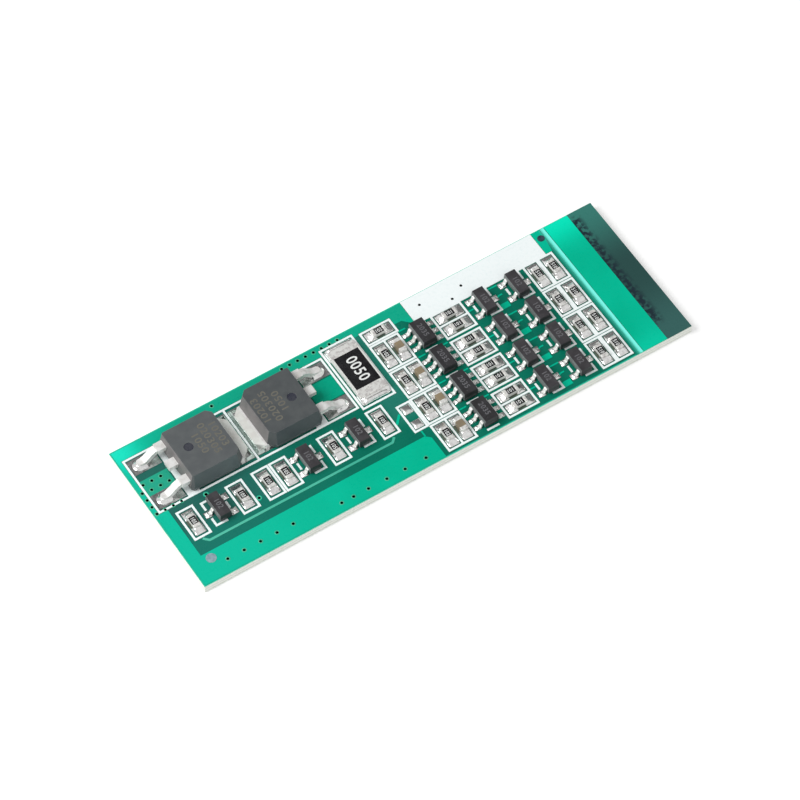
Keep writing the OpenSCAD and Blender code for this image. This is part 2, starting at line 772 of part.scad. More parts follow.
module chip_resistor(l = chip_l, w = chip_w, h = resistor_h, cap = chip_cap, bare = 0.05) {
    color([0.90, 0.90, 0.88]) chip_body(l, w, h, cap);
    color([0.10, 0.10, 0.11])
        translate([-w / 2 + bare, -l / 2 + cap, h - 2 * wrap])
            cube([w - 2 * bare, l - 2 * cap, 1.6 * wrap]);
}

module chip_capacitor() {
    color([0.72, 0.48, 0.33]) chip_body(chip_l, chip_w, capacitor_h, capacitor_cap);
}

// ---- solder ----

// Points up the hollow foot of a solder mound; a short foot is straight
function foot_rise(run, h) =
    let (steps = run > 0.15 ? 3 : 1)
    [for (k = [0:steps]) [run * k / steps, h * (k / steps) ^ 2]];

// Cross section of a solder mound of height h, hollowed at each foot
module mound_outline(l, h, foot0, foot1) {
    far = foot_rise(foot1, h);
    polygon(concat(foot_rise(foot0, h), [for (i = [len(far) - 1:-1:0]) [l - far[i][0], far[i][1]]]));
}

// A mound on a land of l by w, from x = 0 along X; its feet run foot0 and foot1 at the ends, side across
module mound(l, w, h, foot0, foot1, side) {
    intersection() {
        rotate([90, 0, 0]) linear_extrude(w, center = true) mound_outline(l, h, foot0, foot1);
        translate([0, -w / 2]) rotate([90, 0, 90]) linear_extrude(l) mound_outline(w, h, side, side);
    }
}

// Cross section of the tin that stands crowned on a bare land
module crown_outline(l, h) {
    steps = 8;
    polygon([for (k = [0:steps]) [l * k / steps, h * (1 - (2 * k / steps - 1) ^ 2)]]);
}

module crowned_tin(l, w, h) {
    intersection() {
        translate([-l / 2, 0]) rotate([90, 0, 0]) linear_extrude(w, center = true) crown_outline(l, h);
        translate([-l / 2, -w / 2]) rotate([90, 0, 90]) linear_extrude(l) crown_outline(w, h);
    }
}

module end_solder(l, w, h, toe, land_l, across, side) {
    for (turn = [90, 270])
        rotate(turn)
            difference() {
                translate([l / 2 + toe - land_l, 0])
                    mound(land_l, across, h * solder_climb, 0.05, toe * 0.85, side);
                translate([0, -w / 2, -eps]) cube([l / 2, w, h]);
            }
}

module lead_solder(leads, case_w, span, w, rise) {
    x0 = case_w / 2 + heel_gap;
    for (p = leads)
        translate([0, p[1]]) rotate(p[0] > 0 ? 0 : 180)
            difference() {
                translate([x0, 0])
                    mound(span / 2 + lead_toe - x0, w, lead_t * solder_climb, 0.04, lead_toe * 0.85, 0.05);
                small_lead(case_w, span, rise);
            }
}

module fet_solder() {
    h = fet_metal_t * solder_climb;
    lead_out = 0.45;
    tab_out = fet_tab_gap - print_gap;
    for (s = [-1, 1])
        translate([0, s * fet_pitch]) rotate(180)
            difference() {
                translate([fet_l / 2 + fet_lead_reach - fet_foot - lead_out, 0])
                    mound(fet_foot + 2 * lead_out, fet_lead_w + 0.56, h, 0.35, 0.4, 0.24);
                fet_lead();
            }
    difference() {
        translate([fet_l / 2 + print_gap, 0])
            mound(fet_tab_reach + tab_out - print_gap, fet_tab_land_w, h, 0.04, tab_out, 0.26);
        fet_tab();
    }
}

module solder_joints() {
    color([0.84, 0.84, 0.83]) {
        for (c = CHIPS)
            at(c[0], c[1], seat_z, c[2])
                end_solder(chip_l, chip_w, c[3], chip_toe, chip_land_l, land_w, chip_side * 0.8);
        for (t = SOTS)
            at(t[0], t[1], seat_z, t[2])
                lead_solder(SOT_LEADS, sot_w, sot_span, sot_land_w, lead_rise(sot_h));
        for (r = [0:ROWS - 1])
            at(monitor_x, row_y(r), seat_z)
                lead_solder(IC_LEADS, ic_w, ic_span, ic_land_w, lead_rise(ic_h));
        at(shunt_x, shunt_y, seat_z)
            end_solder(shunt_l, shunt_w, shunt_h, shunt_land_out, shunt_land_l, shunt_w - 0.1, 0.1);
        for (f = FETS)
            at(f[0], fet_y, seat_z, f[1]) fet_solder();
        for (s = [-1, 1])
            at(empty_x, empty_y + s * (lands_l - chip_land_l) / 2, seat_z)
                crowned_tin(empty_land_w, chip_land_l, crown_h);
    }
}

// ---- numbered parts ----

module chip_at(c) {
    at(c[0], c[1], seat_z, c[2]) chip_resistor();
}

module filter_resistor(r) chip_at([filter_x[0], row_y(r), 0]);
module gate_resistor(i) chip_at([gate_x, gate_y(floor(i / BRANCHES), i % BRANCHES), 90]);
module bleed_resistor(i) chip_at([bleed_x(i % BRANCHES), row_y(floor(i / BRANCHES)), 0]);
module driver_resistor(i) chip_at([driver_resistor_x[i], driver_y, 0]);
module sense_resistor() chip_at([pair_x + frame_l / 2, sense_y, 90]);

module filter_capacitor(r) {
    at(filter_x[1], row_y(r), seat_z) chip_capacitor();
}

module balance_transistor(i) {
    at(balance_x + i % BALANCE_COLUMNS * balance_pitch, row_y(floor(i / BALANCE_COLUMNS)), seat_z)
        small_transistor();
}

module driver_transistor(i) {
    at(driver_transistor_x[i], driver_y, seat_z, driver_turns[i]) small_transistor();
}

module power_fet(i) {
    at(FETS[i][0], fet_y, seat_z, FETS[i][1]) children();
}

module shunt_resistor() {
    at(shunt_x, shunt_y, seat_z) chip_resistor(shunt_l, shunt_w, shunt_h, shunt_cap, 0.2);
}

board();
copper_pours();
legend();
top_lands();
bottom_lands();
solder_joints();
power_fet(0) fet_case();  // power_fet_1_case
power_fet(0) fet_lead_frame();  // power_fet_1_lead_frame
power_fet(1) fet_case();  // power_fet_2_case
power_fet(1) fet_lead_frame();  // power_fet_2_lead_frame
shunt_resistor();
sense_resistor();
for (i = [0:ROWS - 1]) {
    at(monitor_x, row_y(i), seat_z) cell_monitor();
    filter_resistor(i);
    filter_capacitor(i);
}
for (i = [0:ROWS * BRANCHES - 1]) {
    gate_resistor(i);
    balance_transistor(i);
    bleed_resistor(i);
}
for (i = [0:len(driver_resistor_x) - 1])
    driver_resistor(i);
for (i = [0:len(driver_transistor_x) - 1])
    driver_transistor(i);
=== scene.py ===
import math
import random

import bmesh
import bpy
from mathutils import Matrix, Vector


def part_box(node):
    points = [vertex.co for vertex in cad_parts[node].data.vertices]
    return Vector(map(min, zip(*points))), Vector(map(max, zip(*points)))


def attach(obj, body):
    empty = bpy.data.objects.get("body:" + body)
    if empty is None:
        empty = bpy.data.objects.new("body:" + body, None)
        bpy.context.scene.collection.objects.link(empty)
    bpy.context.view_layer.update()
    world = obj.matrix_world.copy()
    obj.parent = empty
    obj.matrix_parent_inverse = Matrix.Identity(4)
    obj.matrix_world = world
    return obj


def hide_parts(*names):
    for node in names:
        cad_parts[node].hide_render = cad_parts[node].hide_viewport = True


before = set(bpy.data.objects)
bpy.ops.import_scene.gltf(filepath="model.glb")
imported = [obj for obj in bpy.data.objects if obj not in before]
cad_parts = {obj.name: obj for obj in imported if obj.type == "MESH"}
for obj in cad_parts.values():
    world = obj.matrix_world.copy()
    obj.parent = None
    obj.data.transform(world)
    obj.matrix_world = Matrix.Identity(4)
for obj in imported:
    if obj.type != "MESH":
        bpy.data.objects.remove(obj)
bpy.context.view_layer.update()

# The looks of a battery management board: finishes for each layer and part, solder that has wetted
# its lands, the rims of the plated holes and the figures on the parts.
# Lengths are millimetres in the frame's axes (origin at the middle of the underside), and they
# become metres by MM where a mesh or a light is made.

MM = 0.001
random.seed(4)


def box(node):
    """Lowest and highest corner of a CAD node."""
    low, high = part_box(node)
    return low / MM, high / MM


BOARD_LOW, BOARD_HIGH = box("board")
MASK_Z = BOARD_HIGH.z
COPPER_Z = box("copper_pours")[1].z
LAND_Z = box("top_lands")[1].z
BOARD_L, BOARD_W = BOARD_HIGH.x - BOARD_LOW.x, BOARD_HIGH.y - BOARD_LOW.y

# Features of the top, in millimetres from the board's near left corner: [start, end] or [x, y]
RIDGE_X = (50.05, 50.57)
COLUMN_X, COLUMN_END_Y = (49.3, 50.1), 14.9
TRACE_X, TRACE_Y = (1.9, 24.7), (4.0, 5.0)
TEST_POINT, ALIGNMENT_MARK = (2.2, 2.45), (49.6, 16.94)

# Lengths of the end caps, widths of the moulded cases and pitches of the leads
CHIP_CAP, CAPACITOR_CAP, SHUNT_CAP = 0.34, 0.42, 1.02
SMALL_CASE_W, MONITOR_CASE_W = 1.3, 1.6
SMALL_PITCH, POWER_PITCH = 0.95, 2.286

# Strength of the white room, and of the opening on its far right side
ROOM_LIGHT, OPENING_LIGHT = 0.86, 0.22


# ---- camera, stage and light ----

def add_object(name, data):
    made = bpy.data.objects.new(name, data)
    bpy.context.scene.collection.objects.link(made)
    return made


def aim(item, direction):
    item.rotation_mode = "QUATERNION"
    item.rotation_quaternion = direction.to_track_quat("Z", "Y")


def make_camera():
    """A long lens that looks down on the board from its near left."""
    azimuth, elevation, distance = math.radians(-32.58), math.radians(55.96), 440
    back = Vector((math.sin(azimuth) * math.cos(elevation),
                   -math.cos(azimuth) * math.cos(elevation), math.sin(elevation)))
    right = Vector((math.cos(azimuth), math.sin(azimuth), 0))
    up = back.cross(right)
    target = Vector((0, 0, MASK_Z)) - right * 0.3 - up * 1.04
    data = bpy.data.cameras.new("camera")
    data.lens, data.sensor_width = 202.1, 36
    data.clip_start, data.clip_end = 0.01, 10
    camera = add_object("camera", data)
    camera.location = (target + back * distance) * MM
    aim(camera, back)
    bpy.context.scene.camera = camera


def area_light(name, place, size, power):
    data = bpy.data.lights.new(name, "AREA")
    data.shape, data.size, data.energy = "DISK", size * MM, power
    light = add_object(name, data)
    light.location = Vector(place) * MM
    aim(light, Vector(place))
    light.visible_camera = False


def shown_as_white(tree, strength):
    """A strength that counts only where the camera looks, and is 0 for light itself."""
    path = tree.nodes.new("ShaderNodeLightPath")
    seen = tree.nodes.new("ShaderNodeMath")
    seen.operation = "MULTIPLY"
    seen.inputs[1].default_value = strength
    tree.links.new(path.outputs["Is Camera Ray"], seen.inputs[0])
    return seen.outputs[0]


def make_world():
    """A white tent, open and darker on its far right side, and plain white where the camera looks."""
    world = bpy.data.worlds.new("studio")
    bpy.context.scene.world = world
    world.use_nodes = True
    tree = world.node_tree
    tree.nodes.clear()
    out = tree.nodes.new("ShaderNodeOutputWorld")
    mix = tree.nodes.new("ShaderNodeMixShader")
    room = tree.nodes.new("ShaderNodeBackground")
    white = tree.nodes.new("ShaderNodeBackground")
    direction = tree.nodes.new("ShaderNodeTexCoord")
    facing = tree.nodes.new("ShaderNodeVectorMath")
    facing.operation = "DOT_PRODUCT"
    facing.inputs[1].default_value = Vector((0.56, 0.73, 0.39)).normalized()
    fall = tree.nodes.new("ShaderNodeMapRange")
    fall.interpolation_type = "SMOOTHSTEP"
    fall.inputs["From Min"].default_value = 0.5
    fall.inputs["From Max"].default_value = 0.85
    fall.inputs["To Min"].default_value = ROOM_LIGHT
    fall.inputs["To Max"].default_value = OPENING_LIGHT
    tree.links.new(direction.outputs["Generated"], facing.inputs[0])
    tree.links.new(facing.outputs["Value"], fall.inputs["Value"])
    tree.links.new(fall.outputs[0], room.inputs["Strength"])
    tree.links.new(shown_as_white(tree, 1.0), mix.inputs[0])
    tree.links.new(room.outputs[0], mix.inputs[1])
    tree.links.new(white.outputs[0], mix.inputs[2])
    tree.links.new(mix.outputs[0], out.inputs[0])


def make_floor():
    """A sheet of pale paper, lifted to white for the camera, that keeps the board's shadow."""
    mesh = bpy.data.meshes.new("floor")
    r = 1500 * MM
    mesh.from_pydata([(-r, -r, 0), (r, -r, 0), (r, r, 0), (-r, r, 0)], [], [(0, 1, 2, 3)])
    floor = add_object("floor", mesh)
    floor.location.z = -0.02 * MM
    material = bpy.data.materials.new("floor")
    material.use_nodes = True
    tree = material.node_tree
    tree.nodes.clear()
    out = tree.nodes.new("ShaderNodeOutputMaterial")
    both = tree.nodes.new("ShaderNodeAddShader")
    paper = tree.nodes.new("ShaderNodeBsdfDiffuse")
    paper.inputs["Color"].default_value = (0.82, 0.82, 0.82, 1)
    glow = tree.nodes.new("ShaderNodeEmission")
    tree.links.new(shown_as_white(tree, 0.3), glow.inputs["Strength"])
    tree.links.new(paper.outputs[0], both.inputs[0])
    tree.links.new(glow.outputs[0], both.inputs[1])
    tree.links.new(both.outputs[0], out.inputs[0])
    mesh.materials.append(material)


# ---- finishes ----

def rgb(red, green, blue):
    """A colour as it shows on a screen, 0 to 255, as the linear values that shaders take."""
    return tuple(c / 255 / 12.92 if c <= 10 else ((c / 255 + 0.055) / 1.055) ** 2.4
                 for c in (red, green, blue)) + (1.0,)


class Finish:
    """A material whose colour, roughness and relief vary in the board's own space."""

    def __init__(self, name, rough, metal=0.0, gloss=0.5, coat=0.0):
        self.material = bpy.data.materials.new(name)
        self.material.use_nodes = True
        self.tree = self.material.node_tree
        self.shader = self.tree.nodes["Principled BSDF"]
        self.shader.inputs["Roughness"].default_value = rough
        self.shader.inputs["Metallic"].default_value = metal
        self.shader.inputs["Specular IOR Level"].default_value = gloss
        self.shader.inputs["Coat Weight"].default_value = coat
        self.place = self.node("ShaderNodeTexCoord").outputs["Object"]

    def node(self, kind, **settings):
        made = self.tree.nodes.new(kind)
        for key, value in settings.items():
            setattr(made, key, value)
        return made

    def join(self, source, target):
        self.tree.links.new(source, target)

    def put(self, value, socket):
        """Links a socket, or writes a constant."""
        if isinstance(value, bpy.types.NodeSocket):
            self.join(value, socket)
        else:
            socket.default_value = value

    def noise(self, size, detail=2.0, stretch=(1, 1, 1)):
        """Noise from 0 to 1 whose blotches are about size across."""
        scale = self.node("ShaderNodeMapping")
        scale.inputs["Scale"].default_value = [1 / (size * MM * s) for s in stretch]
        texture = self.node("ShaderNodeTexNoise")
        texture.inputs["Scale"].default_value = 1.0
        texture.inputs["Detail"].default_value = detail
        self.join(self.place, scale.inputs["Vector"])
        self.join(scale.outputs[0], texture.inputs["Vector"])
        return texture.outputs["Fac"]

    def waves(self, size, axis, distortion=0.0):
        """Stripes from 0 to 1, one every size, across an axis."""
        scale = self.node("ShaderNodeMapping")
        scale.inputs["Scale"].default_value = [1 / (size * MM)] * 3
        texture = self.node("ShaderNodeTexWave", bands_direction=axis)
        texture.inputs["Scale"].default_value = 1 / 3.1416 * 0.5
        texture.inputs["Distortion"].default_value = distortion
        self.join(self.place, scale.inputs["Vector"])
        self.join(scale.outputs[0], texture.inputs["Vector"])
        return texture.outputs["Fac"]

    def spread(self, value, low, high, to_low=0.0, to_high=1.0):
        """Maps low to high onto to_low to to_high, and holds it there outside."""
        made = self.node("ShaderNodeMapRange", interpolation_type="SMOOTHSTEP")
        for name, number in (("From Min", low), ("From Max", high),
                             ("To Min", to_low), ("To Max", to_high)):
            made.inputs[name].default_value = number
        self.join(value, made.inputs["Value"])
        return made.outputs[0]

    def along(self, axis, start, end):
        """0 at start and 1 at end, both measured along an axis from the board's near left corner."""
        split = self.node("ShaderNodeSeparateXYZ")
        self.join(self.place, split.inputs[0])
        corner = BOARD_LOW["XY".index(axis)]
        return self.spread(split.outputs[axis], (corner + start) * MM, (corner + end) * MM)

    def region(self, ramps):
        """Near 1 where every ramp [axis, start, end] is."""
        shares = [self.along(*ramp) for ramp in ramps]
        while len(shares) > 1:
            shares.append(self.times(shares.pop(0), shares.pop(0)))
        return shares[0]

    def mix(self, share, first, second):
        """first where share is 0, second where it is 1."""
        made = self.node("ShaderNodeMix", data_type="RGBA")
        self.put(share, made.inputs[0])
        self.put(first, made.inputs[6])
        self.put(second, made.inputs[7])
        return made.outputs[2]

    def times(self, first, second, operation="MULTIPLY"):
        made = self.node("ShaderNodeMath", operation=operation)
        self.put(first, made.inputs[0])
        self.put(second, made.inputs[1])
        return made.outputs[0]

    def colour(self, value):
        self.put(value, self.shader.inputs["Base Color"])
        return self

    def roughness(self, value, low, high):
        self.join(self.spread(value, 0.3, 0.7, low, high), self.shader.inputs["Roughness"])
        return self

    def relief(self, value, depth):
        """Bumps depth high, taken from a value from 0 to 1."""
        made = self.node("ShaderNodeBump")
        made.inputs["Strength"].default_value = 1.0
        made.inputs["Distance"].default_value = depth * MM
        self.join(value, made.inputs["Height"])
        if self.shader.inputs["Normal"].is_linked:
            self.join(self.shader.inputs["Normal"].links[0].from_socket, made.inputs["Normal"])
        self.join(made.outputs[0], self.shader.inputs["Normal"])
        return self


# The lighter ramp up the left flank of the raised line, and the bright band on the line itself, are a painted
# highlight.
RIDGE_SLOPE = (("X", 49.8, 50.2), ("X", 50.6, 50.56))      # left flank of the raised line by the right end
SLOPE = (rgb(72, 194, 172), RIDGE_SLOPE)


def solder_mask(name, colour, light, tints=()):
    """Glossy green ink with a faint weave of the glass under it.
    Each tint is [colour, ramps of its region]."""
    made = Finish(name, 0.3, gloss=0.12)
    made.tone = made.mix(made.spread(made.noise(6), 0.35, 0.65), colour, light)
    for tint, ramps in tints:
        made.tone = made.mix(made.region(ramps), made.tone, tint)
    made.colour(made.tone)
    made.roughness(made.noise(0.5, 3), 0.24, 0.36)
    weave = made.times(made.waves(0.42, "X", 0.6), made.waves(0.42, "Y", 0.6), "ADD")
    made.relief(weave, 0.0012).relief(made.noise(0.22, 3), 0.003)
    return made


def copper_mask():
    """The mask over the wide copper."""
    return solder_mask("masked_copper", rgb(0, 184, 147), rgb(2, 192, 155), (
        # Lighter towards the left end: a painted highlight of the gloss.
        (rgb(16, 192, 160), (("X", 24, 1),)),
        (rgb(18, 170, 138), (("Y", 15, 16.6), ("X", 2, 9), ("X", 36, 34))),
        # Brightest at the far left corner: a painted highlight of the gloss.
        (rgb(30, 228, 196), (("Y", 14, 17.5), ("X", 4, 0.8))),
        (rgb(40, 168, 138), (("X", 0.7, 1), ("X", 4.3, 4.1), ("Y", 10.8, 11.2), ("Y", 14.6, 14.2))),
        # Darker round the second power transistor's leads, on its right side: a painted shadow.
        (rgb(4, 162, 130), (("X", 19.5, 19.8), ("X", 23.7, 23.4), ("Y", 10.8, 11.1), ("Y", 15.2, 14.8))),
        # Lighter at the far and near ends of the field beyond the raised line: a painted sheen.
        (rgb(4, 236, 194), (("X", 50.6, 50.62), ("Y", 13.5, 18.2))),
        (rgb(4, 206, 168), (("X", 50.6, 50.62), ("Y", 3, -0.5))),
        SLOPE)).material


def board_mask():
    """The mask over the bare laminate, painted paler along the sawn edges as a painted glow, and lighter
    towards the left end as a painted highlight.
    The strip at the right end is darker, and smudged where its print was rubbed off."""
    made = solder_mask("mask", rgb(8, 110, 90), rgb(10, 118, 96), (
        # Lighter towards the left end: a painted highlight of the gloss.
        (rgb(28, 118, 104), (("X", 24, 1),)),
        (rgb(40, 104, 94), (("X", 16, 7), ("Y", 5, 7))),
        (rgb(36, 122, 106), (("X", 24.8, 26), ("X", 28.4, 27.6), ("Y", 5, 6.5))),
        SLOPE))
    l, w = BOARD_L, BOARD_W
    # Paler in a narrow band along the sawn edges: a painted glow.
    inner = made.region((("X", 0.05, 0.2), ("Y", 0.05, 0.2), ("Y", w - 0.05, w - 0.2)))
    tone = made.mix(inner, rgb(50, 200, 168), made.tone)
    bare = made.mix(made.along("Y", 1, 8), rgb(58, 100, 96), rgb(46, 79, 76))
    bare = made.mix(made.along("Y", 10, w), bare, rgb(60, 126, 116))
    rubbed = made.times(made.region((("X", l - 1.5, l - 2.4), ("Y", 1.6, 2.8), ("Y", w - 0.3, w - 1))),
                        made.spread(made.noise(0.5, 3), 0.4, 0.55))
    bare = made.mix(rubbed, bare, rgb(34, 50, 58))
    return made.colour(made.mix(made.along("X", l - 2.93, l - 2.87), tone, bare)).material


def ink(name, colour, dust):
    """Printed ink: matt, a little uneven where it was squeezed through the screen."""
    made = Finish(name, 0.6, gloss=0.25)
    made.colour(made.mix(made.spread(made.noise(0.35, 4), 0.45, 0.8), colour, dust))
    return made.relief(made.noise(0.08, 2), 0.002).material


def bright_metal(name, colour, shade, blotch, rough, depth, wave=0.25, metal=1.0):
    """Tin or solder: bright, dulled in patches, its surface never quite flat."""
    made = Finish(name, rough[0], metal=metal)
    made.colour(made.mix(made.spread(made.noise(blotch, 3), 0.4, 0.68), colour, shade))
    made.roughness(made.noise(blotch * 0.6, 3), *rough)
    return made.relief(made.noise(wave, 3), depth).material


def moulded(name, colour, light, rough, grain=0.05, depth=0.004):
    """Epoxy moulding compound, with the fine grain that the mould was eroded to."""
    made = Finish(name, rough, gloss=0.4)
    clouds = made.spread(made.noise(1.2, 4), 0.3, 0.7)
    made.colour(made.mix(clouds, colour, light))
    made.roughness(made.noise(0.3, 3), rough - 0.06, rough + 0.08)
    return made.relief(made.noise(grain, 2), depth).material


def laminate():
    """The board's sawn edge: layers of glass cloth in pale resin."""
    made = Finish("laminate", 0.6, gloss=0.3)
    layers = made.waves(0.19, "Z", 1.2)
    threads = made.noise(0.12, 3, stretch=(5, 5, 1))
    fibre = made.times(layers, threads)
    made.colour(made.mix(made.spread(fibre, 0.1, 0.6), rgb(250, 252, 246), rgb(232, 238, 224)))
    return made.relief(fibre, 0.01).material


FINISHES = {
    "mask": board_mask(),
    "copper": copper_mask(),
    "column": solder_mask("masked_column", rgb(14, 128, 106), rgb(20, 136, 114), (SLOPE,)).material,
    # The raised line's light colour and its bright band are a painted highlight.
    "ridge": solder_mask("ridge", rgb(70, 190, 168), rgb(78, 196, 174),
                         ((rgb(130, 255, 240), (("X", 50.05, 50.38),)),)).material,
    # Lighter towards the left end: a painted highlight of the gloss.
    "trace": solder_mask("masked_trace", rgb(66, 178, 152), rgb(80, 188, 162),
                         ((rgb(88, 194, 168), (("X", 24, 1),)),)).material,
    "ink": ink("legend_ink", rgb(248, 255, 255), rgb(240, 250, 250)),
    "laminate": laminate(),
    "barrel": bright_metal("barrel", rgb(60, 66, 60), rgb(24, 28, 26), 0.2, (0.3, 0.5), 0.004),
    "land": bright_metal("tinned_land", rgb(236, 236, 236), rgb(198, 200, 198), 0.5, (0.14, 0.28), 0.012),
    "solder": bright_metal("solder", rgb(254, 254, 252), rgb(236, 234, 234), 0.35, (0.08, 0.22), 0.018),
    "seam": bright_metal("solder_seam", rgb(226, 240, 234), rgb(196, 212, 204),
                         0.6, (0.25, 0.35), 0.004),
    "lead": bright_metal("tinned_lead", rgb(250, 250, 248), rgb(232, 230, 226),
                         0.6, (0.3, 0.45), 0.006, metal=0.3),
    "tab": bright_metal("tinned_tab", rgb(248, 252, 246), rgb(236, 236, 230),
                        1.2, (0.4, 0.6), 0.005, metal=0.3),
    "cap": bright_metal("end_cap", rgb(246, 246, 242), rgb(212, 208, 206),
                        0.3, (0.4, 0.6), 0.006, metal=0.5),
    "copper_dot": bright_metal("test_point", rgb(173, 201, 210), rgb(150, 176, 187),
                               0.4, (0.4, 0.6), 0.004, metal=0.6),
    "mark_dot": bright_metal("alignment_mark", rgb(74, 92, 106), rgb(56, 70, 84),
                             0.3, (0.3, 0.4), 0.003, metal=0.5),
    "case": moulded("power_case", rgb(86, 90, 92), rgb(94, 98, 99), 0.5),
    "dark_case": moulded("power_case_dark", rgb(76, 80, 82), rgb(84, 88, 89), 0.48),
    "dimple": moulded("ejector_mark", rgb(52, 54, 66), rgb(66, 68, 76), 0.3),
    # Paler left faces of the power cases: painted light from the left. Bluer near faces: painted reflection of
    # the board's green. Lighter edges: painted highlight.
    "case_left_lit": moulded("power_case_left", rgb(112, 110, 110), rgb(124, 120, 120), 0.5),
    "case_near": moulded("power_case_near", rgb(88, 98, 101), rgb(96, 106, 108), 0.5),
    "dark_case_near": moulded("power_case_dark_near", rgb(78, 86, 90), rgb(84, 92, 94), 0.5),
    "case_edge_highlight": moulded("power_case_edge", rgb(128, 130, 132), rgb(112, 114, 116), 0.3),
    "small_case": moulded("small_case", rgb(54, 52, 55), rgb(68, 66, 69), 0.42, 0.12, 0.006),
    "monitor_case": moulded("monitor_case", rgb(42, 41, 43), rgb(56, 55, 58), 0.42, 0.12, 0.006),
    # The long sides of the small cases are painted pale: painted light from the left.
    "small_side_lit": moulded("small_case_side", rgb(104, 108, 108), rgb(124, 128, 128), 0.5),
    "ceramic": moulded("ceramic", rgb(232, 232, 228), rgb(220, 220, 216), 0.4, 0.03, 0.002),
    "glaze": moulded("glaze", rgb(22, 22, 24), rgb(36, 35, 38), 0.26, 0.08, 0.002),
    "capacitor": moulded("capacitor", rgb(176, 124, 88), rgb(152, 112, 84), 0.32, 0.04, 0.003),
    # The capacitors' sides are painted paler and greyer than their tops: a painted highlight.
    "capacitor_side": moulded("capacitor_side", rgb(150, 134, 108), rgb(132, 120, 100), 0.4, 0.04, 0.003),
    # A dark olive sheet between each chip's lands, standing in for the shade under the chip: painted shade.
    "shade_film": moulded("painted_shade_film", rgb(74, 90, 80), rgb(92, 98, 84), 0.35, 0.2, 0.004),
    "figure": ink("figures", rgb(236, 238, 236), rgb(220, 224, 222)),
    "faint": moulded("faint_figures", rgb(112, 110, 100), rgb(104, 102, 94), 0.55),
    "small_faint": moulded("small_figures", rgb(112, 112, 116), rgb(96, 96, 100), 0.55),
    "rim": solder_mask("rim", rgb(70, 176, 140), rgb(90, 188, 152)).material,
}


# ---- finishes by face ----

def paint(node, kinds, rule):
    """Gives each face of a CAD node one of the finishes named:
    rule(centre, normal) is its place in the list."""
    mesh = node.data
    mesh.materials.clear()
    for kind in kinds:
        mesh.materials.append(FINISHES[kind])
    for face in mesh.polygons:
        face.material_index = rule(face.center / MM, face.normal)


def soften(node, width, segments=2):
    """Breaks the sharp edges of a CAD node, as tooling, plating or ink does."""
    weld = node.modifiers.new("weld", "WELD")
    weld.merge_threshold = 0.001 * MM
    bevel = node.modifiers.new("soft_edges", "BEVEL")
    bevel.width, bevel.segments = width * MM, segments
    bevel.limit_method, bevel.angle_limit = "ANGLE", math.radians(25)


def numbered(stem):
    return {name: node for name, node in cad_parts.items()
            if name.startswith(stem) and name[len(stem):].isdigit()}


RESISTORS = {**numbered("filter_resistor_"), **numbered("gate_resistor_"), **numbered("bleed_resistor_"),
             **numbered("driver_resistor_"), "sense_resistor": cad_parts["sense_resistor"]}
CAPACITORS = numbered("filter_capacitor_")
TRANSISTORS = {**numbered("balance_transistor_"), **numbered("driver_transistor_")}
MONITORS = numbered("cell_monitor_")
CASES = {i: f"power_fet_{i}_case" for i in (1, 2)}
LEAD_FRAMES = {i: f"power_fet_{i}_lead_frame" for i in (1, 2)}


def is_inside(spot, margin):
    """Whether a place in the frame is further than margin from the board's outline."""
    return (BOARD_LOW.x + margin < spot.x < BOARD_HIGH.x - margin
            and BOARD_LOW.y + margin < spot.y < BOARD_HIGH.y - margin)


def paint_board():
    def rule(centre, normal):
        if abs(normal.z) > 0.5:
            return 0
        return 2 if is_inside(centre, 0.01) else 1
    paint(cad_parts["board"], ("mask", "laminate", "barrel"), rule)


def from_corner(centre):
    """A place in the frame, measured from the board's near left corner."""
    return centre.x - BOARD_LOW.x, centre.y - BOARD_LOW.y


def paint_copper():
    def rule(centre, normal):
        x, y = from_corner(centre)
        if RIDGE_X[0] < x < RIDGE_X[1]:
            return 2
        if COLUMN_X[0] < x < COLUMN_X[1] and y < COLUMN_END_Y:
            return 1
        if TRACE_Y[0] < y < TRACE_Y[1] and TRACE_X[0] < x < TRACE_X[1]:
            return 3
        return 0
    paint(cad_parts["copper_pours"], ("copper", "column", "ridge", "trace"), rule)


def paint_lands():
    def rule(centre, normal):
        spot = from_corner(centre)
        if math.dist(spot, TEST_POINT) < 0.6:
            return 1
        return 2 if math.dist(spot, ALIGNMENT_MARK) < 0.5 else 0
    paint(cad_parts["top_lands"], ("land", "copper_dot", "mark_dot"), rule)


def paint_chip(name, cap, kinds):
    """Metal on the end caps, the coat on top and the body between them."""
    low, high = box(name)
    axis = 0 if high.x - low.x > high.y - low.y else 1
    half = (high[axis] - low[axis]) / 2
    middle = (high + low) / 2

    def rule(centre, normal):
        if abs(centre[axis] - middle[axis]) > half - cap - 0.001:
            return 0
        return 2 if centre.z > high.z - 0.022 else 1
    paint(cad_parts[name], kinds, rule)
    soften(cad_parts[name], 0.022)


def paint_small(name, kind, case_w):
    """Metal on the leads outside a moulded case, whose long sides are painted pale: painted light from the
    left, given to both sides.
    """
    low, high = box(name)
    middle = (low.x + high.x) / 2

    def rule(centre, normal):
        if abs(centre.x - middle) > case_w / 2 + 0.001:
            return 1
        # Long side faces get the pale finish, painted light.
        return 2 if abs(normal.x) > 0.8 else 0
    paint(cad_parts[name], (kind, "lead", "small_side_lit"), rule)
    soften(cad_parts[name], 0.02)


